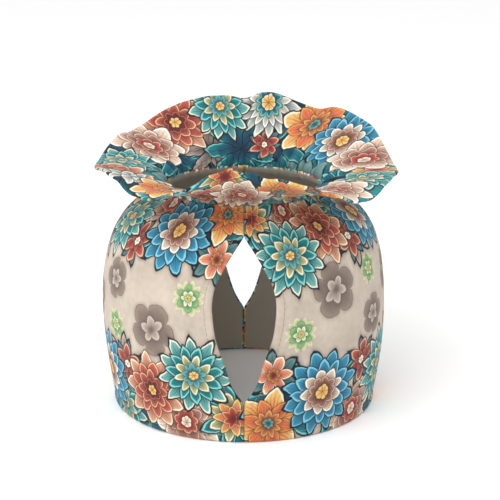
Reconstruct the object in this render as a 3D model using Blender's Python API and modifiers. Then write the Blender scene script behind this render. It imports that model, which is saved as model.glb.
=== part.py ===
"""A padded tea cosy: two half panels that meet at the front and back seams, and a gathered frill.

The cosy stands on its hem. Its front is -Y, and its origin is on the floor under the middle of the neck.
"""

import math
from collections import namedtuple

import bmesh
import bpy
import numpy as np

MM = 0.001

# Driving sizes
COSY_NAME = "tea_cosy"
PANEL_THICKNESS = 3.0 * MM
FRILL_THICKNESS = 1.6 * MM
PIECE_GAP = 0.3 * MM
HEM_HEIGHT = 0.0
NECK_HEIGHT = 125.5 * MM
FRILL_ROOT_RADIUS = 45.0 * MM

# Mesh steps
PANEL_COLUMNS = 30
PANEL_ROWS = 20
FRILL_COLUMNS = 120
FRILL_ROWS = 8

# Points this close to a level edge are laid on it
EDGE_BAND = 0.6 * MM

# Puckers that the gathered neck draws into the shoulder
PUCKER_COUNT = 14
PUCKER_DEPTH = 0.7 * MM
PUCKER_START = 96.0 * MM

# Frill: how far each radial curve leaves the neck upright, and how far its rim runs straight
FRILL_RISE_SHARE = 0.16
FRILL_RIM_SHARE = 0.40

# Outside of the body from hem to neck, in millimetres
Station = namedtuple("Station", "height radius")
BODY = (
    Station(0.0, 74.6),
    Station(5.0, 74.9),
    Station(16.0, 76.5),
    Station(30.0, 78.4),
    Station(46.0, 79.6),
    Station(60.0, 80.0),
    Station(74.0, 79.4),
    Station(88.0, 77.3),
    Station(100.0, 73.2),
    Station(110.0, 66.4),
    Station(117.0, 57.8),
    Station(120.5, 51.4),
    Station(123.0, 47.8),
    Station(125.5, 46.6),
)

# Openings that the seams leave, from the lower point to the upper one, in millimetres
Gap = namedtuple("Gap", "height half_width")
SPOUT_OPENING = (
    Gap(23.0, 0.0),
    Gap(30.0, 5.0),
    Gap(46.0, 10.6),
    Gap(60.0, 15.4),
    Gap(70.0, 16.9),
    Gap(80.0, 17.2),
    Gap(88.0, 15.6),
    Gap(97.0, 11.2),
    Gap(106.0, 5.6),
    Gap(113.5, 0.0),
)
HANDLE_OPENING = (
    Gap(26.0, 0.0),
    Gap(33.0, 4.4),
    Gap(48.0, 9.8),
    Gap(62.0, 13.2),
    Gap(76.0, 13.8),
    Gap(88.0, 11.0),
    Gap(98.0, 6.0),
    Gap(107.0, 0.0),
)

# Rim of the frill round the neck: degrees from +X towards +Y, reach and height in millimetres, and
# the degrees by which the cloth rises at its rim, where a negative rise droops
Fold = namedtuple("Fold", "angle reach height rise")
FRILL = (
    Fold(8.0, 85.4, 133.4, -8.0),
    Fold(16.0, 85.6, 136.6, 6.0),
    Fold(23.0, 86.0, 141.6, 20.0),
    Fold(30.0, 87.0, 147.0, 30.0),
    Fold(40.0, 88.0, 150.5, 34.0),
    Fold(52.0, 89.0, 153.3, 36.0),
    Fold(60.0, 88.0, 151.3, 34.0),
    Fold(68.0, 85.5, 155.0, 44.0),
    Fold(79.0, 81.4, 160.6, 56.0),
    Fold(84.5, 80.2, 159.6, 60.0),
    Fold(88.5, 78.2, 157.6, 50.0),
    Fold(98.0, 79.8, 158.8, 50.0),
    Fold(110.0, 83.5, 157.0, 46.0),
    Fold(122.0, 87.0, 151.7, 40.0),
    Fold(132.0, 88.3, 144.8, 28.0),
    Fold(141.0, 87.2, 141.8, 18.0),
    Fold(147.0, 86.4, 142.5, 18.0),
    Fold(155.0, 86.6, 138.0, 8.0),
    Fold(163.0, 85.2, 134.8, -6.0),
    Fold(173.0, 83.6, 134.4, -10.0),
    Fold(184.0, 83.0, 136.6, 0.0),
    Fold(196.0, 84.0, 139.8, 12.0),
    Fold(208.0, 87.0, 143.8, 22.0),
    Fold(218.0, 87.8, 142.8, 14.0),
    Fold(228.0, 86.4, 135.6, -8.0),
    Fold(238.0, 86.8, 136.2, -4.0),
    Fold(246.0, 85.0, 140.8, 16.0),
    Fold(253.0, 81.2, 145.4, 34.0),
    Fold(260.0, 76.0, 151.0, 58.0),
    Fold(270.0, 74.0, 150.6, 62.0),
    Fold(279.0, 75.6, 147.6, 52.0),
    Fold(288.0, 80.5, 146.0, 38.0),
    Fold(297.0, 86.4, 141.0, 14.0),
    Fold(306.0, 88.0, 135.6, -6.0),
    Fold(316.0, 88.0, 131.0, -18.0),
    Fold(325.0, 87.8, 133.6, -8.0),
    Fold(335.0, 87.0, 137.2, 6.0),
    Fold(347.0, 86.4, 136.4, 6.0),
    Fold(358.0, 85.6, 133.6, -6.0),
)

# Colour, roughness and metallic value of each cloth
Finish = namedtuple("Finish", "colour roughness metallic")
PANEL_CLOTH = Finish((0.47, 0.40, 0.34, 1.0), 0.85, 0.0)
FRILL_CLOTH = Finish((0.30, 0.38, 0.36, 1.0), 0.85, 0.0)


def clear_scene():
    for thing in list(bpy.data.objects):
        bpy.data.objects.remove(thing, do_unlink=True)


def material(name, finish):
    cloth = bpy.data.materials.new(name)
    cloth.use_nodes = True
    shader = cloth.node_tree.nodes["Principled BSDF"]
    shader.inputs["Base Color"].default_value = finish.colour
    shader.inputs["Roughness"].default_value = finish.roughness
    shader.inputs["Metallic"].default_value = finish.metallic
    return cloth


def smooth_curve(knots, values, places):
    """A curve through the values at the knots, read at the places, with slopes taken from the knots."""
    knots = np.asarray(knots, float)
    values = np.asarray(values, float).reshape(len(knots), -1)
    places = np.atleast_1d(np.asarray(places, float))
    slopes = np.stack([np.gradient(column, knots) for column in values.T], axis=1)
    left = np.clip(np.searchsorted(knots, places, side="right") - 1, 0, len(knots) - 2)
    width = (knots[left + 1] - knots[left])[:, None]
    t = ((places - knots[left]) / width[:, 0])[:, None]
    start = (2 * t**3 - 3 * t**2 + 1) * values[left] + (t**3 - 2 * t**2 + t) * width * slopes[left]
    end = (3 * t**2 - 2 * t**3) * values[left + 1] + (t**3 - t**2) * width * slopes[left + 1]
    return start + end


def body_outline(rows):
    """Radius and height at even steps along the outside of the body, from the hem to the neck."""
    points = np.array([(station.radius, station.height) for station in BODY]) * MM
    run = np.concatenate([[0.0], np.cumsum(np.hypot(*np.diff(points, axis=0).T))])
    return smooth_curve(run, points, np.linspace(0.0, run[-1], rows + 1))


def half_width(opening, height):
    """Half the width that an opening has at a height: nothing past its two points."""
    knots = [gap.height * MM for gap in opening]
    widths = [gap.half_width * MM for gap in opening]
    if not knots[0] < height < knots[-1]:
        return 0.0
    return max(0.0, float(smooth_curve(knots, widths, height)[0, 0]))


def seam_angle(opening, radius, height):
    """How far from the seam line a panel's edge lies, as an angle round the axis."""
    return math.asin((PIECE_GAP / 2 + half_width(opening, height)) / radius)


def pucker(angle, height):
    """How far the gathered neck draws the shoulder in."""
    if height < PUCKER_START:
        return 0.0
    share = (height - PUCKER_START) / (NECK_HEIGHT - PUCKER_START)
    fade = math.sin(math.pi * min(1.0, share)) ** 2
    return PUCKER_DEPTH * fade * 0.5 * (1.0 + math.cos(PUCKER_COUNT * angle))


def panel_point(side, across, radius, height):
    """A point of a half panel: across runs from the front edge, at 0, to the back edge, at 1."""
    front = -math.pi / 2 + seam_angle(SPOUT_OPENING, radius, height)
    back = math.pi / 2 - seam_angle(HANDLE_OPENING, radius, height)
    angle = front + (back - front) * across
    reach = radius - pucker(angle, height)
    return (side * reach * math.cos(angle), reach * math.sin(angle), height)


def grid_mesh(name, rows_of_points, closed):
    """A sheet of quads over rows of points, joined end to end where it is closed."""
    sheet = bmesh.new()
    rows = [[sheet.verts.new(point) for point in row] for row in rows_of_points]
    for lower, upper in zip(rows, rows[1:]):
        count = len(lower)
        for i in range(count if closed else count - 1):
            j = (i + 1) % count
            sheet.faces.new((lower[i], lower[j], upper[j], upper[i]))
    mesh = bpy.data.meshes.new(name)
    sheet.to_mesh(mesh)
    sheet.free()
    return mesh


def thicken(name, mesh, thickness, offset):
    """An object with the sheet's mesh made a solid, as a plain mesh."""
    thing = bpy.data.objects.new(name, mesh)
    bpy.context.scene.collection.objects.link(thing)
    solidify = thing.modifiers.new("cloth thickness", "SOLIDIFY")
    solidify.thickness = thickness
    solidify.offset = offset
    solidify.use_even_offset = True
    solid = bpy.data.meshes.new_from_object(thing.evaluated_get(bpy.context.evaluated_depsgraph_get()))
    thing.modifiers.clear()
    thing.data = solid
    thing.name = name
    return thing


def dress(thing, cloth, collection):
    """Gives a piece its cloth and smooth shading, and puts it in the cosy's collection."""
    mesh = thing.data
    mesh.materials.clear()
    mesh.materials.append(cloth)
    mesh.shade_smooth()
    mesh.set_sharp_from_angle(angle=math.radians(40.0))
    bpy.context.scene.collection.objects.unlink(thing)
    collection.objects.link(thing)


def level_panel(mesh, side):
    """Lays the hem on the floor, the neck edge level, and both seam edges beside the seam line."""
    for vertex in mesh.vertices:
        place = vertex.co
        if place.z < HEM_HEIGHT + EDGE_BAND:
            place.z = HEM_HEIGHT
        if place.z > NECK_HEIGHT - EDGE_BAND:
            place.z = NECK_HEIGHT
        if place.x * side < PIECE_GAP / 2:
            place.x = side * PIECE_GAP / 2


def half_panel(name, side, cloth, collection):
    rows = []
    for radius, height in body_outline(PANEL_ROWS):
        row = [panel_point(side, i / PANEL_COLUMNS, radius, height) for i in range(PANEL_COLUMNS + 1)]
        rows.append(row if side > 0 else row[::-1])
    mesh = grid_mesh(name, rows, closed=False)
    panel = thicken(name, mesh, PANEL_THICKNESS, offset=-1.0)
    level_panel(panel.data, side)
    dress(panel, cloth, collection)


def fold_at(angles):
    """Reach, height and rise of the frill's rim at the angles, in metres and radians."""
    turns = (-360.0, 0.0, 360.0)
    knots = [fold.angle + turn for turn in turns for fold in FRILL]
    values = [(fold.reach * MM, fold.height * MM, math.radians(fold.rise)) for fold in FRILL] * len(turns)
    return smooth_curve(knots, values, angles)


def frill_point(angle, reach, height, rise, share):
    """A point of the frill's middle surface: share runs from the root, at 0, to the rim, at 1."""
    root = np.array((FRILL_ROOT_RADIUS, NECK_HEIGHT + PIECE_GAP))
    rim = np.array((reach, height))
    span = float(np.hypot(*(rim - root)))
    upright = root + np.array((0.0, FRILL_RISE_SHARE * span))
    inward = rim - FRILL_RIM_SHARE * span * np.array((math.cos(rise), math.sin(rise)))
    rest = 1.0 - share
    radius, level = (rest**3 * root + 3 * rest**2 * share * upright
                     + 3 * rest * share**2 * inward + share**3 * rim)
    return (radius * math.cos(angle), radius * math.sin(angle), level)


def gathered_frill(name, cloth, collection):
    angles = np.arange(FRILL_COLUMNS) * 360.0 / FRILL_COLUMNS
    folds = fold_at(angles)
    rows = []
    for k in range(FRILL_ROWS + 1):
        share = k / FRILL_ROWS
        rows.append([frill_point(math.radians(a), *fold, share) for a, fold in zip(angles, folds)])
    mesh = grid_mesh(name, rows, closed=True)
    frill = thicken(name, mesh, FRILL_THICKNESS, offset=0.0)
    root_height = NECK_HEIGHT + PIECE_GAP
    for vertex in frill.data.vertices:
        if vertex.co.z < root_height + EDGE_BAND:
            vertex.co.z = root_height
    dress(frill, cloth, collection)


def main():
    clear_scene()
    collection = bpy.data.collections.new(COSY_NAME)
    bpy.context.scene.collection.children.link(collection)
    panel_cloth = material("panel cloth", PANEL_CLOTH)
    half_panel("panel_left", -1, panel_cloth, collection)
    half_panel("panel_right", 1, panel_cloth, collection)
    gathered_frill("frill", material("frill cloth", FRILL_CLOTH), collection)


main()
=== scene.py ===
"""A printed tea cosy: two padded half panels, a gathered frill at the neck, and their stitching.

Sizes are in millimetres unless a comment says otherwise. The cosy stands on its hem, and its front is -Y.
"""

import math
from collections import namedtuple

import bpy
import numpy as np
from bpy.props import FloatProperty, FloatVectorProperty, IntProperty, PointerProperty
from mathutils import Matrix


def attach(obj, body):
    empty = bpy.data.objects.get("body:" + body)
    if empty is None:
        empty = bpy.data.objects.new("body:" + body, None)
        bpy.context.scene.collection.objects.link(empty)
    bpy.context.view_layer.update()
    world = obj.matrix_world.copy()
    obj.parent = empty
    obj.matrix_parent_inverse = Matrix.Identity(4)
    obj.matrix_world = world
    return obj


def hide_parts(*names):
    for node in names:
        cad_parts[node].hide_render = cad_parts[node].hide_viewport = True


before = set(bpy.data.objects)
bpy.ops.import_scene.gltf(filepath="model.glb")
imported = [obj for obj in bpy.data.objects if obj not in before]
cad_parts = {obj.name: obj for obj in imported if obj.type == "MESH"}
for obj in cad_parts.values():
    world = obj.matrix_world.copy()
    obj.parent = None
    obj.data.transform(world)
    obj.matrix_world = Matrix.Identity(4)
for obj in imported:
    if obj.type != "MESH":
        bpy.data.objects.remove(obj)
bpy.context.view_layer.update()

bl_info = {
    "name": "Printed tea cosy",
    "version": (1, 0, 0),
    "blender": (4, 5, 0),
    "location": "3D View > Sidebar > Tea cosy",
    "description": "Makes the printed panels, frill and stitching of a padded tea cosy",
    "category": "Mesh",
}

MM = 0.001

# Millimetres of cloth to one unit of the print's UV map
PRINT_UNIT = 100.0
# Below this distance or thickness the two sides of a sheet are one
CLOSED = 1e-6
# Distance inside a turned edge over which the print gives way to the lining
LINING_RAMP = 0.4

# Outside of the body from hem to neck
Station = namedtuple("Station", "height radius")
BODY = tuple(Station(*row) for row in (
    (0, 74.6), (5, 74.9), (16, 76.5), (30, 78.4), (46, 79.6), (60, 80), (74, 79.4), (88, 77.3),
    (100, 73.2), (110, 66.4), (117, 57.8), (120.5, 51.4), (123, 47.8), (125.5, 46.6),
))

# Openings that the seams leave, from the lower point to the upper one
Gap = namedtuple("Gap", "height half_width")
SPOUT_OPENING = tuple(Gap(*row) for row in (
    (23, 0), (30, 5), (46, 10.6), (60, 15.4), (70, 16.9), (80, 17.2), (88, 15.6), (97, 11.2),
    (106, 5.6), (113.5, 0),
))
HANDLE_OPENING = tuple(Gap(*row) for row in (
    (26, 0), (33, 4.4), (48, 9.8), (62, 13.2), (76, 13.8), (88, 11), (98, 6), (107, 0),
))

# Rim of the frill: degrees from +X towards +Y, reach, height, and the degrees by which the cloth rises there
Fold = namedtuple("Fold", "angle reach height rise")
FRILL = tuple(Fold(*row) for row in (
    (8, 85.4, 133.4, -8), (16, 85.6, 136.6, 6), (23, 86, 141.6, 20), (30, 87, 147, 30),
    (40, 88, 150.5, 34), (52, 89, 153.3, 36), (60, 88, 151.3, 34), (68, 85.5, 155, 44),
    (79, 81.4, 160.6, 56), (84.5, 80.2, 159.6, 60), (88.5, 78.2, 157.6, 50), (98, 79.8, 158.8, 50),
    (110, 83.5, 157, 46), (122, 87, 151.7, 40), (132, 88.3, 144.8, 28), (141, 87.2, 141.8, 18),
    (147, 86.4, 142.5, 18), (155, 86.6, 138, 8), (163, 85.2, 134.8, -6), (173, 83.6, 134.4, -10),
    (184, 83, 136.6, 0), (196, 84, 139.8, 12), (208, 87, 143.8, 22), (218, 87.8, 142.8, 14),
    (228, 86.4, 135.6, -8), (238, 86.8, 136.2, -4), (246, 85, 140.8, 16), (253, 81.2, 145.4, 34),
    (260, 76, 151, 58), (270, 74, 150.6, 62), (279, 75.6, 147.6, 52), (288, 80.5, 146, 38),
    (297, 86.4, 141, 14), (306, 88, 135.6, -6), (316, 88, 131, -18), (325, 87.8, 133.6, -8),
    (335, 87, 137.2, 6), (347, 86.4, 136.4, 6), (358, 85.6, 133.6, -6),
))

# Where the frill is sewn on, as radius and height, its width from there to its rim, the shares of the way
# to the rim over which its curve rises from the neck and runs out straight, and its points round the neck
FRILL_ROOT = (45.1, 124.3)
FRILL_WIDTH = 46.0
FRILL_RISE_SHARE = 0.16
FRILL_RIM_SHARE = 0.40
FRILL_COLUMNS = 720

# Relief of a panel: the runs below the neck over which broad folds and fine gathers fade in, how many
# broad folds go round the body, and the depths of folds and dents and of the groove along the stitches
FOLD_RUN = 30.0
GATHER_RUN = 24.0
BROAD_FOLDS = 14
FOLD_DEPTH = 0.35
DENT_DEPTH = 0.45
GROOVE_DEPTH = 0.4
GROOVE_WIDTH = 1.1

# Relief of the frill: its gathers as a multiple of the body's puckers, the mean that is taken off every
# gather, the flutes between neck and rim, the ruffles at the rim with what the front adds to them, and the
# share of all relief that goes inwards and upwards
FRILL_GATHERS = 2.2
MEAN_GATHER = 0.4
FLUTES = 19
FLUTE_DEPTH = 0.9
RUFFLES = 34
RUFFLE_DEPTH = 0.5
FRONT_RUFFLE = 1.4
LIFT_SLOPE = 0.7

# The panels with their sides
SIDES = (("panel_left", -1), ("panel_right", 1))

# The print, as rings of petals from the outermost ring to the heart of a flower. Petals is how many,
# outer the radius to their tips and notch the share of it at their clefts; a low point gives pointed
# tips and a low full gives broad ones. Heart, tip and ink are the dyes at the roots, at the tips and of
# the drawn lines. Line is the width of the outline, border that of the band inside it, veins how
# strongly the petals are lined, and twist the share of a petal by which the ring is turned.
Ring = namedtuple("Ring", "petals outer notch point full heart tip ink line border_tone border veins twist")
FLOWERS = {flower: tuple(Ring(*row) for row in rows) for flower, rows in {
    "dahlia": (
        (12, 28, 0.64, 1.25, 0.76, "navy", "blue", "ink", 0.95, "sky", 0.5, 0.9, 0),
        (12, 21.5, 0.68, 1.3, 0.74, "navy", "blue", "ink", 0.5, "sky", 0.9, 0.9, 0.5),
        (9, 15.4, 0.66, 1.45, 0.7, "brown", "cream", "umber", 0.4, "white", 0.6, 0.9, 0),
        (9, 10.4, 0.72, 1.55, 0.66, "umber", "rose", "umber", 0.34, "blush", 0.4, 0.8, 0.5),
        (7, 4.8, 0.8, 1.8, 0.6, "gold", "lemon", "umber", 0.28, "cream", 0, 0.3, 0),
    ),
    "rosette": (
        (11, 25.5, 0.58, 1.18, 0.82, "deep teal", "aqua", "ink", 0.9, "cream", 0.6, 0.8, 0),
        (11, 19, 0.6, 1.2, 0.8, "deep teal", "teal", "ink", 0.55, "aqua", 0.9, 0.8, 0.5),
        (9, 13, 0.56, 1.25, 0.8, "deep teal", "lemon", "deep teal", 0.36, "cream", 0.5, 0.5, 0),
        (9, 8, 0.58, 1.3, 0.78, "navy", "aqua", "deep teal", 0.3, "cream", 0, 0.5, 0.5),
        (6, 3.2, 0.8, 1.6, 0.6, "gold", "lemon", "umber", 0.28, "cream", 0, 0, 0),
    ),
    "lily": (
        (6, 16.5, 0.34, 1.2, 0.82, "deep teal", "grey teal", "ink", 0.9, "aqua", 0, 0.7, 0.5),
        (6, 12.4, 0.42, 1.3, 0.72, "coral", "peach", "umber", 0.4, "cream", 0.6, 0.8, 0),
        (8, 4.4, 0.62, 1.4, 0.66, "maroon", "gold", "umber", 0.28, "gold", 0, 0.3, 0),
    ),
    "star": (
        (8, 25, 0.62, 1.45, 0.74, "rose", "cream", "umber", 0.5, "white", 0.9, 0.9, 0),
        (8, 19.4, 0.64, 1.5, 0.72, "brown", "blush", "umber", 0.42, "cream", 0.7, 0.9, 0.5),
        (7, 14, 0.68, 1.55, 0.68, "umber", "rose", "umber", 0.36, "blush", 0.5, 0.8, 0),
        (7, 9, 0.7, 1.6, 0.66, "maroon", "coral", "umber", 0.3, "peach", 0.4, 0.6, 0.5),
        (6, 4, 0.8, 1.8, 0.6, "sand", "white", "umber", 0.26, "white", 0, 0.3, 0),
    ),
    "poppy": (
        (6, 25, 0.5, 1.28, 0.8, "orange", "lemon", "ink", 0.75, "cream", 0.9, 0.8, 0),
        (6, 18, 0.46, 1.25, 0.82, "coral", "orange", "umber", 0.42, "gold", 0.5, 0.8, 0.5),
        (9, 10, 0.56, 1.35, 0.72, "maroon", "gold", "umber", 0.34, "gold", 0.4, 0.5, 0),
        (7, 4, 0.7, 1.5, 0.64, "deep teal", "aqua", "umber", 0.28, "aqua", 0, 0, 0),
    ),
    "lotus": (
        (7, 26, 0.44, 1.18, 0.84, "navy", "teal", "ink", 0.85, "aqua", 0.9, 0.7, 0),
        (7, 19, 0.42, 1.22, 0.82, "deep teal", "lemon", "deep teal", 0.45, "cream", 0.8, 0.5, 0),
        (7, 14.5, 0.46, 1.22, 0.82, "coral", "gold", "umber", 0.4, "lemon", 0.6, 0.6, 0.5),
        (7, 8.4, 0.5, 1.3, 0.76, "maroon", "orange", "umber", 0.32, "peach", 0.4, 0.5, 0),
    ),
    "shadow flower": (
        (5, 13.5, 0.66, 2.4, 0.48, "dusk", "taupe", "dusk", 0.32, "taupe", 0, 0.6, 0),
        (5, 7.2, 0.46, 1.4, 0.7, "taupe", "pale", "dusk", 0.22, "pale", 0, 0.5, 0.5),
        (7, 2.4, 0.8, 2, 0.5, "dusk", "taupe", "taupe", 0, "taupe", 0, 0, 0),
    ),
    "clover": (
        (12, 11, 0.7, 1.1, 0.9, "fern", "mist", "moss", 0, "pale", 0, 0.9, 0),
        (6, 8.6, 0.52, 1.35, 0.74, "moss", "fern", "moss", 0.38, "fern", 0, 0.7, 0),
        (6, 5.2, 0.56, 1.4, 0.72, "fern", "cream", "moss", 0.32, "cream", 0.4, 0.3, 0.5),
        (6, 2.2, 0.8, 2, 0.6, "gold", "lemon", "moss", 0.36, "white", 0, 0, 0),
    ),
    "aster": (
        (7, 16, 0.36, 1.15, 0.9, "navy", "grey teal", "ink", 0.9, "aqua", 0, 0.6, 0.5),
        (6, 13, 0.4, 1.35, 0.7, "maroon", "coral", "umber", 0.4, "peach", 0.5, 0.8, 0),
        (6, 6.8, 0.5, 1.35, 0.7, "umber", "coral", "umber", 0.3, "peach", 0, 0.5, 0.5),
        (6, 2.8, 0.8, 1.8, 0.6, "cream", "white", "umber", 0.28, "white", 0, 0, 0),
    ),
    "peony": (
        (9, 26, 0.58, 1.35, 0.76, "maroon", "peach", "umber", 0.5, "cream", 0.7, 0.9, 0),
        (9, 19.5, 0.6, 1.4, 0.72, "maroon", "coral", "umber", 0.42, "peach", 0.6, 0.9, 0.5),
        (8, 13.5, 0.62, 1.45, 0.7, "umber", "coral", "umber", 0.36, "peach", 0.5, 0.8, 0),
        (7, 8, 0.66, 1.5, 0.68, "umber", "maroon", "umber", 0.32, "coral", 0.4, 0.6, 0.5),
        (6, 3.8, 0.7, 1.6, 0.66, "gold", "lemon", "umber", 0.28, "cream", 0, 0.3, 0),
    ),
    "daisy": (
        (14, 25, 0.6, 1.25, 0.8, "deep teal", "white", "ink", 0.6, "cream", 0.7, 0.9, 0),
        (14, 17, 0.62, 1.25, 0.8, "grey teal", "cream", "ink", 0.42, "white", 0.6, 0.7, 0.5),
        (10, 10.6, 0.6, 1.35, 0.74, "navy", "teal", "ink", 0.38, "aqua", 0.5, 0.6, 0),
        (8, 5.4, 0.8, 1.8, 0.56, "gold", "lemon", "umber", 0.34, "cream", 0.4, 0.3, 0),
    ),
    "foliage": (
        (6, 23, 0.14, 1.2, 0.72, "deep teal", "aqua", "ink", 0.7, "white", 1.6, 0.8, 0),
    ),
    "collar leaves": (
        (27, 106, 0.8, 1.2, 0.74, "navy", "teal", "ink", 0.8, "aqua", 0.7, 0.9, 0),
        (24, 79, 0.72, 1.2, 0.74, "navy", "teal", "ink", 0.8, "aqua", 0.7, 0.9, 0.4),
        (23, 62, 0.78, 1.2, 0.74, "deep teal", "grey teal", "ink", 0.7, "aqua", 0, 0.9, 0),
    ),
    "shade leaf": (
        (8, 25, 0.46, 1.2, 0.74, "navy", "teal", "ink", 0.8, "aqua", 0.7, 0.9, 0),
    ),
    "brown leaf": (
        (7, 22, 0.3, 1.15, 0.85, "dusk", "pale", "ink", 0.9, "cream", 0, 0.9, 0),
    ),
}.items()}

# Where the flowers lie on a half panel, from the ones underneath to the ones on top: millimetres across
# from the front seam and up from the hem, turn in degrees and size as a share of the flower's own
Bloom = namedtuple("Bloom", "flower across up turn size")
# The top rows, which lie near the neck under the frill on the right panel, hold mostly dark leaves and darker
# flowers: print, chosen dark there partly as painted shade of the frill's shadow
PANEL_PRINT = tuple(Bloom(*row) for row in (
    ("shadow flower", 54, 83, 8, 1.12), ("shadow flower", 87, 62, 30, 0.86),
    ("shadow flower", 118, 79, 52, 1), ("clover", 31, 62, 0, 0.88), ("clover", 86, 88, 12, 0.84),
    ("shade leaf", 92, 14, 10, 1.1), ("shade leaf", 24, 22, 32, 1.1), ("shade leaf", 60, 20, 4, 1.05),
    ("shade leaf", 2, 122, 6, 1.15), ("shade leaf", 58, 128, 12, 1.15),
    ("shade leaf", 114, 128, 21, 1.1), ("brown leaf", 80, 112, 20, 1), ("brown leaf", 118, 40, 8, 0.9),
    ("star", 34, 134, 10, 0.92), ("rosette", 84, 136, 12, 0.88), ("lotus", 6, 129, 0, 0.86),
    ("aster", 76, 109, 0, 1), ("dahlia", 104, 120, 25, 0.94), ("peony", 56, 119, 20, 0.88),
    ("rosette", 28, 105, 4, 0.96), ("lotus", 120, 4, 10, 0.84), ("lily", 16, 40, 24, 1),
    ("star", 72, 9, 15, 0.92), ("aster", 76, 38, 5, 1), ("rosette", 101, 28, 16, 0.98),
    ("poppy", 14, 11, 12, 0.92), ("dahlia", 46, 26, 0, 0.96),
))
# Width and height of one repeat, and the height about which the left panel's print is turned over
PANEL_REPEAT = (125.7, 400.0)
PANEL_PRINT_MIDDLE = 72.0

# The same on the frill, which is printed as a flat ring: degrees from +X towards +Y and millimetres
# from the neck's axis
FRILL_PRINT = tuple(Bloom(*row) for row in (
    ("collar leaves", 0, 0, 0, 1), ("shade leaf", 160, 86, 0, 0.9), ("shade leaf", 140, 62, 25, 1.2),
    ("shade leaf", 68, 64, 30, 1.1), ("brown leaf", 112, 60, 30, 1.2), ("shade leaf", 92, 60, 8, 1.1),
    ("shade leaf", 344, 60, 8, 1.2), ("shade leaf", 278, 84, 19, 1), ("shade leaf", 217, 86, 41, 1),
    ("foliage", 222, 62, 0, 1.2), ("rosette", 240, 88, 0, 0.8), ("lotus", 262, 88, 10, 0.8),
    ("poppy", 296, 88, 20, 0.72), ("shade leaf", 66, 86, 20, 0.9), ("aster", 77, 62, 10, 0.8),
    ("peony", 122, 82, 20, 0.88), ("daisy", 79, 86, 0, 0.86), ("rosette", 101, 85, 12, 0.86),
    ("star", 143, 76, 10, 0.92), ("rosette", 168, 78, 40, 0.84), ("poppy", 56, 80, 0, 0.94),
    ("dahlia", 35, 76, 25, 0.84), ("peony", 192, 80, 0, 0.86), ("lotus", 355, 80, 0, 0.88),
    ("star", 14, 78, 5, 0.9), ("rosette", 336, 78, 12, 0.82), ("daisy", 211, 76, 0, 0.84),
    ("star", 316, 72, 0, 0.84), ("poppy", 231, 72, 8, 0.84), ("poppy", 286, 76, 20, 0.88),
    ("lotus", 301, 62, 0, 0.74), ("peony", 250, 67, 8, 0.8), ("star", 269, 66, 10, 0.84),
))
FRILL_REPEAT = (400.0, 400.0)

# How petals are painted: the power by which the heart's colour keeps to the heart, the veins to a petal,
# how uneven the petals of a ring are, the sharpness of a petal's edge and of a drawn line per millimetre,
# and the shadow beside a petal: its colour, its strongest share and how fast it fades per millimetre
HEART_POWER = 2.4
PETAL_VEINS = 21.0
UNEVEN_PETALS = 0.025
EDGE_SHARPNESS = 2.2
LINE_SHARPNESS = 2.4
SHADOW_TONE = (0.34, 0.30, 0.29)
SHADOW_SHARE = 0.36
SHADOW_FADE = 0.6

# Unevenness of the printed cloth: how far the print wanders in millimetres, the darkest and the lightest
# ground as shares of its dye, and the darkest wash over all colours
WANDER = (2.6, 2.6, 0.0)
GROUND_RANGE = (0.84, 1.06)
WASH = (0.88, 0.88, 0.88)

# The weave: the distance between its threads, its depth in metres and how far painted shade darkens the gaps
# between its threads
THREAD_PITCH = 0.45
WEAVE_DEPTH = 0.0001
WEAVE_PAINTED_SHADE = 0.10

# Sides of a stitch's thread, and the floor's width and its drop below the hem, in metres
THREAD_SIDES = 6
FLOOR_SIZE = 60.0
FLOOR_DROP = 0.0002


def srgb(red, green, blue):
    """Linear light for a colour given as a screen shows it, from 0 to 255."""
    shares = (red / 255, green / 255, blue / 255)
    return tuple(s / 12.92 if s <= 0.04045 else ((s + 0.055) / 1.055) ** 2.4 for s in shares)


def dye(name, description, red, green, blue):
    return FloatVectorProperty(name=name, description=description, subtype="COLOR", size=3, min=0.0, max=1.0,
                               default=srgb(red, green, blue))


def length(name, description, millimetres):
    return FloatProperty(name=name, description=description, default=millimetres * MM, min=0.0, precision=5,
                         subtype="DISTANCE", unit="LENGTH")


class CosySizes(bpy.types.PropertyGroup):
    """Sizes of the cloth and the stitching."""

    panel_thickness: length("Panel thickness", "Thickness of the padded panel cloth", 3.0)
    frill_thickness: length("Frill thickness", "Thickness of the doubled frill cloth", 1.6)
    seam_gap: length("Seam gap", "Gap between the two panels at their seams", 0.0)
    edge_roll: length("Edge roll", "Width over which a turned edge rounds off", 1.5)
    cloth_step: length("Cloth step", "Spacing of the points of the cloth", 1.5)
    neck_pucker: length("Neck pucker", "Depth of the fine gathers at the neck", 0.8)
    stitch: length("Stitch", "Length of one stitch", 2.1)
    stitch_pitch: length("Stitch pitch", "Distance from one stitch to the next", 2.8)
    stitch_inset: length("Stitch inset", "Distance from an edge to its line of stitches", 5.0)
    thread: length("Thread", "Radius of the sewing thread", 0.13)
    puckers: IntProperty(name="Puckers", description="Fine gathers round the neck", default=44, min=0)


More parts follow.
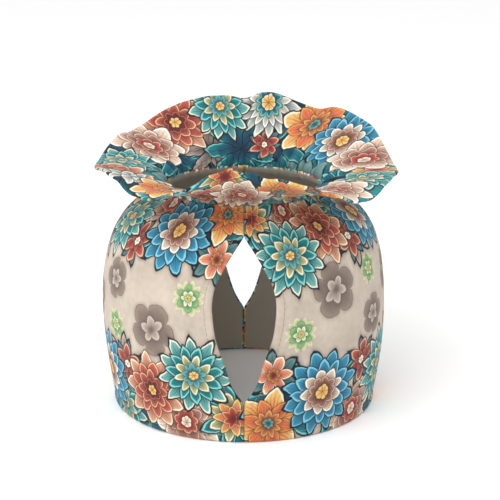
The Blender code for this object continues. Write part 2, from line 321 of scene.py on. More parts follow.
class CosyColours(bpy.types.PropertyGroup):
    """Dyes of the print, the lining and the thread."""

    ground: dye("Ground", "Cloth between the flowers", 200, 186, 171)
    lining: dye("Lining", "Inside of the body", 168, 160, 146)
    thread: dye("Thread", "Sewing thread", 150, 139, 126)
    ink: dye("Ink", "Boldest outlines", 18, 32, 42)
    umber: dye("Umber", "Fine outlines and dark hearts", 78, 46, 40)
    navy: dye("Navy", "Roots of the blue petals", 22, 66, 94)
    blue: dye("Blue", "Tips of the blue petals", 66, 162, 196)
    sky: dye("Sky", "Lights on the blue petals", 130, 198, 220)
    deep_teal: dye("Deep teal", "Roots of the green petals", 20, 88, 92)
    teal: dye("Teal", "Green petals", 42, 148, 150)
    aqua: dye("Aqua", "Tips of the green petals", 126, 204, 198)
    grey_teal: dye("Grey teal", "Dusty green petals", 122, 154, 150)
    cream: dye("Cream", "Pale petals", 246, 234, 208)
    lemon: dye("Lemon", "Yellow petals", 236, 216, 136)
    sand: dye("Sand", "Dusty yellow petals", 218, 190, 152)
    gold: dye("Gold", "Deep yellow petals", 232, 170, 92)
    orange: dye("Orange", "Orange petals", 226, 124, 62)
    peach: dye("Peach", "Light orange petals", 242, 186, 146)
    coral: dye("Coral", "Red petals", 206, 108, 86)
    maroon: dye("Maroon", "Darkest red petals", 124, 36, 46)
    rose: dye("Rose", "Dusty pink petals", 190, 138, 120)
    blush: dye("Blush", "Pale pink petals", 228, 194, 176)
    brown: dye("Brown", "Brown petals", 122, 76, 58)
    white: dye("White", "White petals", 252, 247, 240)
    taupe: dye("Taupe", "Plain flowers on the ground", 150, 134, 122)
    dusk: dye("Dusk", "Outlines of the plain flowers", 112, 97, 88)
    pale: dye("Pale", "Hearts of the plain flowers", 214, 200, 188)
    moss: dye("Moss", "Small green flowers", 84, 136, 88)
    fern: dye("Fern", "Light green petals", 158, 192, 134)
    mist: dye("Mist", "Yellowish bloom round the green flowers", 218, 214, 170)


class StageSettings(bpy.types.PropertyGroup):
    """The floor, the lights and the camera."""

    elevation: FloatProperty(name="Elevation", description="Camera height above the horizon",
                             default=math.radians(17.5), subtype="ANGLE")
    distance: length("Distance", "From the camera to the point it looks at", 1000.0)
    aim_height: length("Aim height", "Height of the point that the camera looks at", 75.0)
    lens: FloatProperty(name="Lens", description="Focal length in millimetres", default=126.7, unit="CAMERA")
    shift_across: FloatProperty(name="Shift across", description="Sideways shift of the lens", default=0.012)
    shift_up: FloatProperty(name="Shift up", description="Upward shift of the lens", default=0.038)
    floor_tone: dye("Floor", "Colour of the floor", 250, 250, 250)
    key_power: FloatProperty(name="Key light", description="Power of the soft light in front", default=9.0,
                             unit="POWER")
    fill_power: FloatProperty(name="Fill light", description="Power of the soft lights at the sides",
                              default=3.0, unit="POWER")
    sky_strength: FloatProperty(name="Sky", description="Strength of the soft light all round", default=0.97)
    horizon: FloatProperty(name="Horizon", default=0.52, min=0.0, max=1.0,
                           description="Share of the sky's light that comes from near the floor")


def smooth_curve(knots, values, places):
    """A curve through the values at the knots, read at the places, with slopes worked out from the knots."""
    knots = np.asarray(knots, float)
    values = np.asarray(values, float).reshape(len(knots), -1)
    places = np.atleast_1d(np.asarray(places, float))
    slopes = np.stack([np.gradient(column, knots) for column in values.T], axis=1)
    left = np.clip(np.searchsorted(knots, places, side="right") - 1, 0, len(knots) - 2)
    width = (knots[left + 1] - knots[left])[:, None]
    t = ((places - knots[left]) / width[:, 0])[:, None]
    start = (2 * t**3 - 3 * t**2 + 1) * values[left] + (t**3 - 2 * t**2 + t) * width * slopes[left]
    end = (3 * t**2 - 2 * t**3) * values[left + 1] + (t**3 - t**2) * width * slopes[left + 1]
    return start + end


def body_run():
    """Distance along the outside of the body from the hem to each station."""
    points = np.array([(station.radius, station.height) for station in BODY])
    return np.concatenate([[0.0], np.cumsum(np.hypot(*np.diff(points, axis=0).T))])


def edge_steps(total, spacing, roll):
    """Distances from one edge to the other: close together where the edges round off, then even."""
    near = roll * np.array([0.0, 0.08, 0.28, 0.6])
    count = max(2, round((total - 2 * roll) / spacing))
    middle = np.linspace(roll, total - roll, count + 1)
    return np.concatenate([near, middle, total - near[::-1]])


def half_width(opening, heights):
    """Half the width that an opening has at the heights: nothing past its two points."""
    knots = [gap.height for gap in opening]
    widths = smooth_curve(knots, [gap.half_width for gap in opening], np.clip(heights, knots[0], knots[-1]))
    inside = (heights > knots[0]) & (heights < knots[-1])
    return np.where(inside, np.maximum(widths[:, 0], 0.0), 0.0)


def normals_of(points):
    """Outward normals of a grid of points, indexed along the run and then round the axis."""
    along = np.gradient(points, axis=0)
    across = np.gradient(points, axis=1)
    normal = np.cross(across, along)
    return normal / np.maximum(np.linalg.norm(normal, axis=2, keepdims=True), 1e-9)


def hump(places, middle, width):
    """A smooth bump that is 1 at the middle and fades out to both sides over the width."""
    return np.exp(-((places - middle) / width) ** 2)


def round_edge(distance, roll):
    """Share of the full thickness that cloth has at a distance from its turned edge."""
    share = np.clip(distance / roll, 0.0, 1.0)
    return np.sqrt(np.clip(1.0 - (1.0 - share) ** 2, 0.0, 1.0))


def gathers(angles, count):
    """Uneven gathers round the neck, from 0 on a ridge to 1 in a trough."""
    sway = 0.9 * np.sin(5 * angles + 0.7) + 0.6 * np.sin(9 * angles + 2.1)
    ridge = 0.5 + 0.5 * np.cos(count * angles + sway)
    strength = 0.75 + 0.25 * np.sin(7 * angles + 1.3)
    return strength * ridge**1.5


class Cloth:
    """A closed sheet over a grid of middle points, with its print coordinates and its lined side."""

    def __init__(self, middle, half_thickness, print_place, lined, ring):
        self.middle = middle
        self.half = half_thickness
        self.print_place = print_place
        self.lined = lined
        self.ring = ring
        self.normal = normals_of(middle) if not ring else self.ring_normals()

    def ring_normals(self):
        wrapped = np.concatenate([self.middle[:, -2:], self.middle, self.middle[:, :2]], axis=1)
        return normals_of(wrapped)[:, 2:-2]

    def side(self, sign):
        return self.middle + sign * self.half[:, :, None] * self.normal

    def mesh(self, name):
        """Both sides of the sheet, joined where the thickness runs out at the edges."""
        rows, columns = self.half.shape
        outer = np.arange(rows * columns).reshape(rows, columns)
        open_edge = self.half <= CLOSED
        inner = np.where(open_edge, outer, 0)
        inner[~open_edge] = rows * columns + np.arange(np.count_nonzero(~open_edge))
        points = np.concatenate([self.side(1.0).reshape(-1, 3), self.side(-1.0)[~open_edge]])
        places = np.concatenate([self.print_place.reshape(-1, 2), self.print_place[~open_edge]])
        lined = np.concatenate([np.zeros(rows * columns), self.lined[~open_edge]])
        faces = np.concatenate([self.quads(outer), self.quads(inner)[:, ::-1]])
        mesh = bpy.data.meshes.new(name)
        mesh.from_pydata((points * MM).tolist(), [], faces.tolist())
        layer = mesh.uv_layers.new(name="print")
        corner = np.zeros(len(mesh.loops), int)
        mesh.loops.foreach_get("vertex_index", corner)
        layer.data.foreach_set("uv", (places[corner] / PRINT_UNIT).ravel())
        mesh.attributes.new("lined", "FLOAT", "POINT").data.foreach_set("value", lined)
        mesh.shade_smooth()
        mesh.validate()
        return mesh

    def quads(self, index):
        wide = np.concatenate([index, index[:, :1]], axis=1) if self.ring else index
        corners = (wide[:-1, :-1], wide[:-1, 1:], wide[1:, 1:], wide[1:, :-1])
        return np.stack([c.ravel() for c in corners], axis=1)


def add_object(name, mesh, material):
    thing = bpy.data.objects.new(name, mesh)
    bpy.context.scene.collection.objects.link(thing)
    mesh.materials.clear()
    mesh.materials.append(material)
    return thing


def panel_surface(side, sizes):
    """Middle points of a half panel, their half thickness, their places on the print and their lined share."""
    thickness = sizes.panel_thickness / MM
    roll = sizes.edge_roll / MM
    step = sizes.cloth_step / MM
    rise = body_run()
    up = edge_steps(rise[-1], step, roll)
    outline = smooth_curve(rise, [(station.radius, station.height) for station in BODY], up)
    radius, height = outline[:, 0], outline[:, 1]
    widest = max(station.radius for station in BODY)
    across = edge_steps(math.pi * widest, step, roll) / (math.pi * widest)
    seam = sizes.seam_gap / MM / 2
    front = -math.pi / 2 + np.arcsin((seam + half_width(SPOUT_OPENING, height)) / radius)
    back = math.pi / 2 - np.arcsin((seam + half_width(HANDLE_OPENING, height)) / radius)
    angle = front[:, None] + (back - front)[:, None] * across[None, :]
    room = radius[:, None] * (back - front)[:, None]
    to_seam = room * np.minimum(across, 1.0 - across)[None, :]
    to_end = np.minimum(up, up[-1] - up)[:, None]
    edge = np.minimum(to_seam, to_end)
    shoulder, fine = (np.clip((up - (up[-1] - run)) / run, 0.0, 1.0)[:, None] for run in (FOLD_RUN, GATHER_RUN))
    broad = FOLD_DEPTH * (1.0 + np.cos(BROAD_FOLDS * angle)) * np.sin(math.pi * shoulder) ** 2
    bulge = np.sin(math.pi * up / up[-1])[:, None]
    dents = DENT_DEPTH * np.sin(3 * angle + 0.05 * up[:, None] + side) * bulge
    sewn = GROOVE_DEPTH * hump(edge, sizes.stitch_inset / MM, GROOVE_WIDTH)
    pucker = fine**1.6 * gathers(angle, sizes.puckers) * sizes.neck_pucker / MM
    reach = radius[:, None] - broad - pucker + dents - sewn
    outer = np.stack([side * reach * np.cos(angle), reach * np.sin(angle),
                      np.broadcast_to(height[:, None], angle.shape)], axis=2)
    if side < 0:
        outer, edge, angle = outer[:, ::-1], edge[:, ::-1], angle[:, ::-1]
    inward = normals_of(outer)
    middle = outer - inward * thickness / 2
    middle[0, :, 2] = 0.0
    middle[:, :, 2] = np.maximum(middle[:, :, 2], 0.0)
    middle[:, :, 0] = side * np.maximum(side * middle[:, :, 0], seam)
    half = thickness / 2 * round_edge(edge, roll)
    half[edge <= CLOSED] = 0.0
    print_up = np.broadcast_to(up[:, None], angle.shape)
    if side < 0:
        print_up = 2 * PANEL_PRINT_MIDDLE - print_up
    place = np.stack([widest * (angle + math.pi / 2), print_up], axis=2)
    lined = np.clip((edge - roll / 2) / LINING_RAMP, 0.0, 1.0)
    return middle, half, place, lined


def line_of_stitches(cloth, inset, side):
    """Points of the stitches over the outside of a panel: down the front, along the hem and up the back."""
    outside = cloth.side(1.0) if side > 0 else cloth.side(1.0)[:, ::-1]
    steps = np.linalg.norm(np.diff(outside, axis=1), axis=2)
    along = np.concatenate([np.zeros((len(outside), 1)), np.cumsum(steps, axis=1)], axis=1)
    rises = np.linalg.norm(np.diff(outside, axis=0), axis=2).mean(axis=1)
    up = np.concatenate([[0.0], np.cumsum(rises)])

    def at(row, distance):
        return [np.interp(distance, along[row], outside[row, :, k]) for k in range(3)]

    below_neck, corner = 1.0, 1.2 * inset
    rows = [i for i in range(len(up)) if inset < up[i] < up[-1] - below_neck]
    columns = outside.swapaxes(0, 1)
    hem = np.array([[np.interp(inset, up, column[:, k]) for k in range(3)] for column in columns])
    low = along[rows[0]]
    hem = hem[(low > corner) & (low < low[-1] - corner)]
    front = [at(row, inset) for row in reversed(rows)]
    back = [at(row, along[row, -1] - inset) for row in rows]
    return np.concatenate([front, hem, back])


def stitch_tree():
    """Geometry nodes that lay short lengths of thread along a line of edges."""
    tree = bpy.data.node_groups.new("stitches along a line", "GeometryNodeTree")
    tree.is_modifier = True
    tree.interface.new_socket("Line", in_out="INPUT", socket_type="NodeSocketGeometry")
    for label in ("Pitch", "Stitch", "Thread"):
        tree.interface.new_socket(label, in_out="INPUT", socket_type="NodeSocketFloat")
    tree.interface.new_socket("Cotton", in_out="INPUT", socket_type="NodeSocketMaterial")
    tree.interface.new_socket("Stitches", in_out="OUTPUT", socket_type="NodeSocketGeometry")

    def node(kind, links=(), **settings):
        new = tree.nodes.new(kind)
        for label, value in settings.items():
            setattr(new, label, value)
        for label, source in links:
            tree.links.new(source, new.inputs[label])
        return new

    given = node("NodeGroupInput").outputs
    curve = node("GeometryNodeMeshToCurve", [("Mesh", given["Line"])])
    points = node("GeometryNodeResampleCurve", [("Curve", curve.outputs[0]), ("Length", given["Pitch"])],
                  mode="LENGTH")
    tangent = node("GeometryNodeInputTangent")
    turn = node("FunctionNodeAlignRotationToVector", [("Vector", tangent.outputs[0])], axis="Z")
    thread = node("GeometryNodeMeshCylinder", [("Radius", given["Thread"]), ("Depth", given["Stitch"])])
    thread.inputs["Vertices"].default_value = THREAD_SIDES
    laid = node("GeometryNodeInstanceOnPoints", [("Points", points.outputs[0]), ("Instance", thread.outputs[0]),
                                                 ("Rotation", turn.outputs[0])])
    plain = node("GeometryNodeRealizeInstances", [("Geometry", laid.outputs[0])])
    dyed = node("GeometryNodeSetMaterial", [("Geometry", plain.outputs[0]), ("Material", given["Cotton"])])
    node("NodeGroupOutput", [("Stitches", dyed.outputs[0])])
    return tree


def sew(name, points, tree, sizes, material):
    """A piece with stitches along the points, as a plain mesh."""
    line = bpy.data.meshes.new(name)
    line.from_pydata((points * MM).tolist(), [(i, i + 1) for i in range(len(points) - 1)], [])
    thing = bpy.data.objects.new(name, line)
    bpy.context.scene.collection.objects.link(thing)
    modifier = thing.modifiers.new("stitches", "NODES")
    modifier.node_group = tree
    values = {"Pitch": sizes.stitch_pitch, "Stitch": sizes.stitch, "Thread": sizes.thread, "Cotton": material}
    for item in tree.interface.items_tree:
        if item.in_out == "INPUT" and item.name in values:
            modifier[item.identifier] = values[item.name]
    thing.data = bpy.data.meshes.new_from_object(thing.evaluated_get(bpy.context.evaluated_depsgraph_get()))
    thing.modifiers.clear()
    if not thing.data.polygons:
        raise RuntimeError(f"{name} has no stitches")
    thing.data.name = name
    thing.data.shade_smooth()
    return thing


def fold_at(angles):
    """Reach, height and rise of the frill's rim at the angles in degrees."""
    turns = (-360.0, 0.0, 360.0)
    knots = [fold.angle + turn for turn in turns for fold in FRILL]
    values = [(fold.reach, fold.height, math.radians(fold.rise)) for fold in FRILL] * len(turns)
    return smooth_curve(knots, values, angles).T


def frill_surface(sizes):
    """Middle points of the frill, its half thickness, and where each point lies on the print."""
    thickness = sizes.frill_thickness / MM
    degrees = np.arange(FRILL_COLUMNS) * 360.0 / FRILL_COLUMNS
    angle = np.radians(degrees)
    reach, height, rise = fold_at(degrees)
    root = np.array(FRILL_ROOT)[:, None]
    rim = np.stack([reach, height])
    span = np.hypot(*(rim - root))
    upright = root + np.stack([0.0 * span, FRILL_RISE_SHARE * span])
    inward = rim - FRILL_RIM_SHARE * span * np.stack([np.cos(rise), np.sin(rise)])
    out = edge_steps(FRILL_WIDTH, sizes.cloth_step / MM, thickness / 2)
    share = (out / FRILL_WIDTH)[:, None]
    rest = 1.0 - share
    curve = [rest**3 * root[k] + 3 * rest**2 * share * upright[k] + 3 * rest * share**2 * inward[k]
             + share**3 * rim[k] for k in (0, 1)]
    depth = FRILL_GATHERS * sizes.neck_pucker / MM
    off_seam = np.clip(share / 0.05, 0.0, 1.0)
    fine = (gathers(angle, 2 * sizes.puckers) - MEAN_GATHER)[None, :] * hump(share, 0.08, 0.12)
    broad = (gathers(angle + 0.03, sizes.puckers) - MEAN_GATHER)[None, :] * hump(share, 0.22, 0.20)
    wave = np.sin(FLUTES * angle + 0.8 * np.sin(3 * angle))[None, :]
    flutes = FLUTE_DEPTH * wave * np.sin(math.pi * share**0.8)
    front = np.clip(-np.sin(angle), 0.0, 1.0) ** 2
    ruffle = (RUFFLE_DEPTH + FRONT_RUFFLE * front) * (gathers(angle + 0.02, RUFFLES) - MEAN_GATHER)
    lift = off_seam * depth * (-0.9 * fine - 1.2 * broad) + flutes + ruffle[None, :] * share**4
    radius = curve[0] - lift * LIFT_SLOPE
    level = curve[1] + lift * LIFT_SLOPE
    middle = np.stack([radius * np.cos(angle), radius * np.sin(angle), level], axis=2)
    edge = np.minimum(out, FRILL_WIDTH - out)
    half = thickness / 2 * round_edge(edge, thickness / 2)
    half[edge <= CLOSED] = 0.0
    half = np.repeat(half[:, None], FRILL_COLUMNS, axis=1)
    flat = (FRILL_ROOT[0] + out)[:, None]
    place = np.stack([flat * np.cos(angle), flat * np.sin(angle)], axis=2)
    return middle, half, place, np.zeros_like(half)


class Wire:
    """A value in a node tree, which arithmetic extends with Math nodes."""

    def __init__(self, tree, socket):
        self.tree = tree
        self.socket = socket

    def math(self, operation, *others):
        node = self.tree.nodes.new("ShaderNodeMath")
        node.operation = operation
        feed(self.tree, zip(node.inputs, (self, *others)))
        return Wire(self.tree, node.outputs[0])

    def __add__(self, other):
        return self.math("ADD", other)

    def __sub__(self, other):
        return self.math("SUBTRACT", other)

    def __mul__(self, other):
        return self.math("MULTIPLY", other)

    def __truediv__(self, other):
        return self.math("DIVIDE", other)

    def __pow__(self, other):
        return self.math("POWER", other)

    def scaled(self, factor, offset):
        return self.math("MULTIPLY_ADD", factor, offset)

    def clamped(self):
        """This value held between 0 and 1."""
        node = self.tree.nodes.new("ShaderNodeClamp")
        self.tree.links.new(self.socket, node.inputs["Value"])
        return Wire(self.tree, node.outputs[0])

    def mix(self, low, high, blend="MIX"):
        """The colour low where this value is 0 or less, and the colour high where it is 1 or more."""
        node = self.tree.nodes.new("ShaderNodeMix")
        node.data_type = "RGBA"
        node.blend_type = blend
        feed(self.tree, zip((node.inputs[0], node.inputs[6], node.inputs[7]), (self, low, high)))
        return Wire(self.tree, node.outputs[2])


def feed(tree, pairs):
    """Gives each socket its value, by a link where the value is a wire."""
    for socket, value in pairs:
        if isinstance(value, Wire):
            tree.links.new(value.socket, socket)
        elif hasattr(socket.default_value, "__len__") and len(socket.default_value) == 4:
            socket.default_value = (*value[:3], 1.0)
        else:
            socket.default_value = value


def node_group(name, inputs, outputs):
    """A new shader group and the wires of its inputs by name."""
    kinds = {"number": "NodeSocketFloat", "colour": "NodeSocketColor"}
    tree = bpy.data.node_groups.new(name, "ShaderNodeTree")
    for label, kind in inputs:
        tree.interface.new_socket(label, in_out="INPUT", socket_type=kinds[kind])
    for label, kind in outputs:
        tree.interface.new_socket(label, in_out="OUTPUT", socket_type=kinds[kind])
    source = tree.nodes.new("NodeGroupInput")
    return tree, {label: Wire(tree, source.outputs[label]) for label, _ in inputs}


def close_group(tree, **results):
    sink = tree.nodes.new("NodeGroupOutput")
    for label, wire in results.items():
        tree.links.new(wire.socket, sink.inputs[label.replace("_", " ")])


def bloom_group():
    """Distance and turn of a point from the middle of a flower, which repeats over the cloth."""
    numbers = ("Across", "Up", "Centre Across", "Centre Up", "Half Width", "Half Height", "Size", "Spin")
    tree, given = node_group("bloom place", [(n, "number") for n in numbers],
                             [("Reach", "number"), ("Turn", "number")])
    across = given["Across"] - given["Centre Across"]
    across = across.math("WRAP", given["Half Width"], given["Half Width"] * -1.0)
    up = given["Up"] - given["Centre Up"]
    up = up.math("WRAP", given["Half Height"], given["Half Height"] * -1.0)
    reach = (across * across + up * up).math("SQRT") / given["Size"]
    turn = up.math("ARCTAN2", across).scaled(0.5 / math.pi, given["Spin"])
    close_group(tree, Reach=reach, Turn=turn)
    return tree


def ring_group():
    """One ring of petals painted over what lies under it."""
    numbers = ("Reach", "Turn", "Petals", "Twist", "Outer", "Notch", "Slant", "Point", "Full", "Line", "Border",
               "Veins")
    colours = ("Under", "Heart", "Tip", "Ink", "Border Tone")
    tree, given = node_group("petal ring", [(n, "number") for n in numbers] + [(c, "colour") for c in colours],
                             [("Colour", "colour")])
    reach = given["Reach"]
    petal = given["Turn"].scaled(given["Petals"], given["Twist"])
    aside = petal.math("FRACT").scaled(2.0, -1.0).math("ABSOLUTE")
    shape = (aside ** given["Point"]).scaled(-1.0, 1.0) ** given["Full"]
    tone = (petal.math("FLOOR") * 2.4).math("SINE")
    outer = given["Outer"] * tone.scaled(UNEVEN_PETALS, 1.0)
    rim = outer * (given["Notch"] + shape * given["Notch"].scaled(-1.0, 1.0))
    depth = (rim - reach) * given["Slant"]
    share = (reach / rim).math("MINIMUM", 1.0)
    body = (share ** HEART_POWER).mix(given["Heart"], given["Tip"])
    lines = (aside * PETAL_VEINS + share * 2.0).math("SINE").scaled(0.5, 0.5) ** 3.0
    fade = share.scaled(-1.1, 1.15) * given["Veins"]
    body = (lines * fade).mix(body, given["Ink"])
    border = (depth - given["Border"] - given["Line"]).scaled(-2.0, 0.5).clamped()
    border = border * given["Border"].math("GREATER_THAN", 0.01) * share.scaled(2.5, -1.0).clamped()
    body = border.mix(body, given["Border Tone"])
    cleft = aside.scaled(-1.0, 1.0) * reach * (given["Petals"] ** -1.0) * math.pi
    nearest = depth.math("MINIMUM", cleft + given["Line"] * 0.5)
    line = (nearest - given["Line"]).scaled(-LINE_SHARPNESS, 0.5) * given["Line"].math("GREATER_THAN", 0.01)
    body = line.mix(body, given["Ink"])
    cast = depth.scaled(SHADOW_FADE, 1.0) * given["Line"].math("MINIMUM", SHADOW_SHARE)
    under = cast.mix(given["Under"], SHADOW_TONE, blend="MULTIPLY")
    close_group(tree, Colour=depth.scaled(EDGE_SHARPNESS, 0.5).mix(under, body))
    return tree


def slant(ring):
    """Share of the radial distance to a petal's side that lies square to that side."""
    slope = ring.petals * (1.0 - ring.notch) / (math.pi * (1.0 + ring.notch) / 2)
    return 1.0 / math.sqrt(1.0 + slope**2)


class PrintPainter:
    """Lays a print's flowers over a cloth, each flower's rings from the lowest up."""

    def __init__(self, tree, colours, repeat):
        self.tree = tree
        self.colours = colours
        self.repeat = repeat
        self.bloom = bpy.data.node_groups.get("bloom place") or bloom_group()
        self.ring = bpy.data.node_groups.get("petal ring") or ring_group()

    def tone(self, name):
        return tuple(getattr(self.colours, name.replace(" ", "_")))

    def group(self, tree, values):
        node = self.tree.nodes.new("ShaderNodeGroup")
        node.node_tree = tree
        feed(self.tree, [(node.inputs[label], value) for label, value in values.items()])
        return [Wire(self.tree, out) for out in node.outputs]

    def flower(self, bloom, place, under):
        reach, turn = self.group(self.bloom, {
            "Across": place[0], "Up": place[1], "Centre Across": bloom.across, "Centre Up": bloom.up,
            "Half Width": self.repeat[0] / 2, "Half Height": self.repeat[1] / 2, "Size": bloom.size,
            "Spin": bloom.turn / 360.0})
        for ring in FLOWERS[bloom.flower]:
            (under,) = self.group(self.ring, {
                "Reach": reach, "Turn": turn, "Petals": float(ring.petals), "Twist": ring.twist,
                "Outer": ring.outer, "Notch": ring.notch, "Slant": slant(ring), "Point": ring.point,
                "Full": ring.full, "Line": ring.line, "Border": ring.border, "Veins": ring.veins,
                "Under": under, "Heart": self.tone(ring.heart), "Tip": self.tone(ring.tip),
                "Ink": self.tone(ring.ink), "Border Tone": self.tone(ring.border_tone)})
        return under


def frill_blooms():
    """The frill's flowers with their places on the flat ring."""
    places = [(bloom, math.radians(bloom.across)) for bloom in FRILL_PRINT]
    return [bloom._replace(across=bloom.up * math.cos(angle), up=bloom.up * math.sin(angle))
            for bloom, angle in places]


def noise(tree, vector, scale, detail=2.0, dimensions="3D"):
    node = tree.nodes.new("ShaderNodeTexNoise")
    node.noise_dimensions = dimensions
    node.inputs["Scale"].default_value = scale
    node.inputs["Detail"].default_value = detail
    tree.links.new(vector.socket, node.inputs["Vector"])
    return Wire(tree, node.outputs["Fac"]), Wire(tree, node.outputs["Color"])


def vector_math(tree, operation, *values):
    node = tree.nodes.new("ShaderNodeVectorMath")
    node.operation = operation
    feed(tree, zip(node.inputs, values))
    return Wire(tree, node.outputs[0])


def split(tree, vector):
    parts = tree.nodes.new("ShaderNodeSeparateXYZ")
    tree.links.new(vector.socket, parts.inputs[0])
    return [Wire(tree, out) for out in parts.outputs]


def cloth_material(name, blooms, repeat, colours):
    """Printed plain weave, with a plain lining on the side that the attribute "lined" marks."""
    material = bpy.data.materials.new(name)
    material.use_nodes = True
    tree = material.node_tree
    shader = tree.nodes["Principled BSDF"]
    coordinates = tree.nodes.new("ShaderNodeUVMap")
    coordinates.uv_map = "print"
    flat = vector_math(tree, "SCALE", Wire(tree, coordinates.outputs[0]))
    flat.socket.node.inputs["Scale"].default_value = PRINT_UNIT
    _, sway = noise(tree, flat, 0.12, 2.0, "2D")
    sway = vector_math(tree, "SUBTRACT", sway, (0.5, 0.5, 0.5))
    sway = vector_math(tree, "MULTIPLY", sway, WANDER)
    place = split(tree, vector_math(tree, "ADD", flat, sway))
    cloud, _ = noise(tree, flat, 0.05, 3.0, "2D")
    darkest, lightest = (tuple(min(1.0, c * share) for c in colours.ground) for share in GROUND_RANGE)
    colour = cloud.scaled(2.0, -0.5).mix(darkest, lightest)
    painter = PrintPainter(tree, colours, repeat)
    for bloom in blooms:
        colour = painter.flower(bloom, place, colour)
    wash, _ = noise(tree, flat, 0.30, 2.0, "2D")
    colour = wash.scaled(1.5, -0.45).mix(colour, WASH, blend="MULTIPLY")
    side = tree.nodes.new("ShaderNodeAttribute")
    side.attribute_name = "lined"
    colour = Wire(tree, side.outputs["Fac"]).mix(colour, tuple(colours.lining))
    weave = weave_height(tree, flat)
    # Painted shade: the gaps between the weave's threads are darkened towards black
    colour = weave.scaled(-WEAVE_PAINTED_SHADE, WEAVE_PAINTED_SHADE).mix(colour, (0.0, 0.0, 0.0))
    tree.links.new(colour.socket, shader.inputs["Base Color"])
    bump = tree.nodes.new("ShaderNodeBump")
    bump.inputs["Strength"].default_value = 0.35
    bump.inputs["Distance"].default_value = WEAVE_DEPTH
    tree.links.new(weave.socket, bump.inputs["Height"])
    tree.links.new(bump.outputs[0], shader.inputs["Normal"])
    shader.inputs["Roughness"].default_value = 0.82
    shader.inputs["Sheen Weight"].default_value = 0.08
    shader.inputs["Specular IOR Level"].default_value = 0.25
    return material


def weave_height(tree, flat):
    """Height of a plain weave, from 0 in its gaps to 1 on its threads."""
    across, up, _ = split(tree, flat)
    turn = math.pi / THREAD_PITCH
    warp = (across * turn).math("SINE")
    weft = (up * turn).math("SINE")
    return (warp * weft).scaled(0.5, 0.5)


def thread_material(colours):
    material = bpy.data.materials.new("sewing thread")
    material.use_nodes = True
    tree = material.node_tree
    shader = tree.nodes["Principled BSDF"]
    coordinates = tree.nodes.new("ShaderNodeTexCoord")
    tint, _ = noise(tree, Wire(tree, coordinates.outputs["Object"]), 900.0)
    base = tuple(colours.thread)
    tone = tint.mix(tuple(0.8 * c for c in base), base)
    tree.links.new(tone.socket, shader.inputs["Base Color"])
    shader.inputs["Roughness"].default_value = 0.6
    return material


class COSY_OT_panels(bpy.types.Operator):
    """Make the two printed half panels"""

    bl_idname = "cosy.panels"
    bl_label = "Half panels"

    def execute(self, context):
        sizes = context.scene.cosy_sizes
        colours = context.scene.cosy_colours
        material = cloth_material("printed panel cloth", PANEL_PRINT, PANEL_REPEAT, colours)
        for node, side in SIDES:
            name = node + "_cloth"
            panel = add_object(name, Cloth(*panel_surface(side, sizes), ring=False).mesh(name), material)
            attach(panel, "root")
            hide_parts(node)
        return {"FINISHED"}


class COSY_OT_stitches(bpy.types.Operator):
    """Sew the line of stitches that holds each panel's turned edges"""

    bl_idname = "cosy.stitches"
    bl_label = "Stitches"

    def execute(self, context):
        sizes = context.scene.cosy_sizes
        material = thread_material(context.scene.cosy_colours)
        tree = stitch_tree()
        for node, side in SIDES:
            cloth = Cloth(*panel_surface(side, sizes), ring=False)
            points = line_of_stitches(cloth, sizes.stitch_inset / MM, side)
            stitches = sew(node + "_stitches", points, tree, sizes, material)
            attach(stitches, "root")
        return {"FINISHED"}


class COSY_OT_frill(bpy.types.Operator):
    """Make the gathered frill"""

    bl_idname = "cosy.frill"
    bl_label = "Frill"

    def execute(self, context):
        colours = context.scene.cosy_colours
        material = cloth_material("printed frill cloth", frill_blooms(), FRILL_REPEAT, colours)
        mesh = Cloth(*frill_surface(context.scene.cosy_sizes), ring=True).mesh("frill_cloth")
        frill = add_object("frill_cloth", mesh, material)
        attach(frill, "root")
        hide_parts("frill")
        return {"FINISHED"}


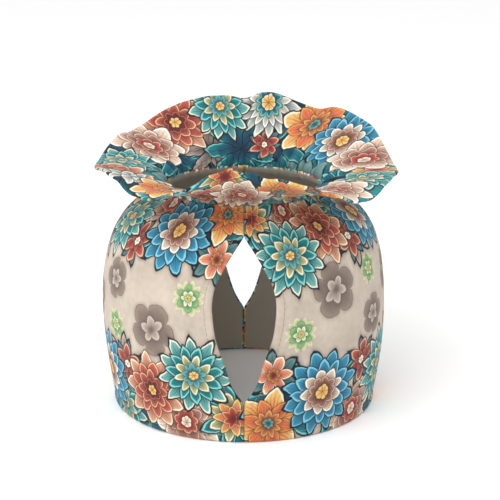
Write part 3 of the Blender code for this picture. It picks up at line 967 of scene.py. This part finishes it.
class COSY_OT_stage(bpy.types.Operator):
    """Make the floor, the lights and the camera"""

    bl_idname = "cosy.stage"
    bl_label = "Stage"

    def execute(self, context):
        stage = context.scene.cosy_stage
        self.make_floor(stage)
        self.make_lights(context.scene, stage)
        self.make_camera(context.scene, stage)
        return {"FINISHED"}

    def make_floor(self, stage):
        bpy.ops.mesh.primitive_plane_add(size=FLOOR_SIZE, location=(0.0, 0.0, -FLOOR_DROP))
        floor = bpy.context.object
        floor.name = "floor"
        material = bpy.data.materials.new("pale floor")
        material.use_nodes = True
        shader = material.node_tree.nodes["Principled BSDF"]
        shader.inputs["Base Color"].default_value = (*stage.floor_tone, 1.0)
        shader.inputs["Roughness"].default_value = 0.9
        floor.data.materials.append(material)

    def make_lights(self, scene, stage):
        """A sky that is brightest overhead, and three soft lamps."""
        world = bpy.data.worlds.new("soft light")
        world.use_nodes = True
        tree = world.node_tree
        background = tree.nodes["Background"]
        background.inputs["Color"].default_value = (1.0, 1.0, 1.0, 1.0)
        place = tree.nodes.new("ShaderNodeTexCoord")
        height = split(tree, Wire(tree, place.outputs["Generated"]))[2].math("MAXIMUM", 0.0)
        rise = 1.5 * (1.0 - stage.horizon)
        strength = height.scaled(rise * stage.sky_strength, stage.horizon * stage.sky_strength)
        tree.links.new(strength.socket, background.inputs["Strength"])
        scene.world = world
        scene.view_settings.view_transform = "Standard"
        spots = (("key light", (-0.5, -0.9, 1.0), 1.2, stage.key_power),
                 ("left light", (-1.1, -0.2, 0.5), 0.8, stage.fill_power),
                 ("right light", (1.1, -0.2, 0.5), 0.8, 0.6 * stage.fill_power))
        for name, place, size, power in spots:
            lamp = bpy.data.lights.new(name, "AREA")
            lamp.shape = "DISK"
            lamp.size = size
            lamp.energy = power
            light = bpy.data.objects.new(name, lamp)
            scene.collection.objects.link(light)
            light.location = place
            aim(light, (0.0, 0.0, 0.08))

    def make_camera(self, scene, stage):
        data = bpy.data.cameras.new("camera")
        camera = bpy.data.objects.new("camera", data)
        scene.collection.objects.link(camera)
        out, up = math.cos(stage.elevation), math.sin(stage.elevation)
        camera.location = (0.0, -out * stage.distance, stage.aim_height + up * stage.distance)
        aim(camera, (0.0, 0.0, stage.aim_height))
        data.lens = stage.lens
        data.shift_x = stage.shift_across
        data.shift_y = stage.shift_up
        scene.camera = camera


def aim(thing, target):
    """Turns a light or camera so that it looks at a point."""
    away = np.array(target) - np.array(thing.location)
    flat = math.hypot(away[0], away[1])
    thing.rotation_euler = (math.atan2(flat, -away[2]), 0.0, math.atan2(-away[0], away[1]))


class COSY_PT_sidebar(bpy.types.Panel):
    """Lists what makes the tea cosy"""

    bl_label = "Tea cosy"
    bl_idname = "COSY_PT_sidebar"
    bl_space_type = "VIEW_3D"
    bl_region_type = "UI"
    bl_category = "Tea cosy"

    def draw(self, context):
        for operator in OPERATORS:
            self.layout.operator(operator.bl_idname)
        for group in (context.scene.cosy_sizes, context.scene.cosy_colours, context.scene.cosy_stage):
            box = self.layout.box()
            for name in group.__annotations__:
                box.prop(group, name)


OPERATORS = (COSY_OT_panels, COSY_OT_stitches, COSY_OT_frill, COSY_OT_stage)
CLASSES = (CosySizes, CosyColours, StageSettings, *OPERATORS, COSY_PT_sidebar)


def register():
    for cls in CLASSES:
        bpy.utils.register_class(cls)
    bpy.types.Scene.cosy_sizes = PointerProperty(type=CosySizes)
    bpy.types.Scene.cosy_colours = PointerProperty(type=CosyColours)
    bpy.types.Scene.cosy_stage = PointerProperty(type=StageSettings)


def unregister():
    del bpy.types.Scene.cosy_stage
    del bpy.types.Scene.cosy_colours
    del bpy.types.Scene.cosy_sizes
    for cls in reversed(CLASSES):
        bpy.utils.unregister_class(cls)


def main():
    register()
    bpy.ops.cosy.panels()
    bpy.ops.cosy.stitches()
    bpy.ops.cosy.frill()
    bpy.ops.cosy.stage()


if __name__ == "__main__":
    main()
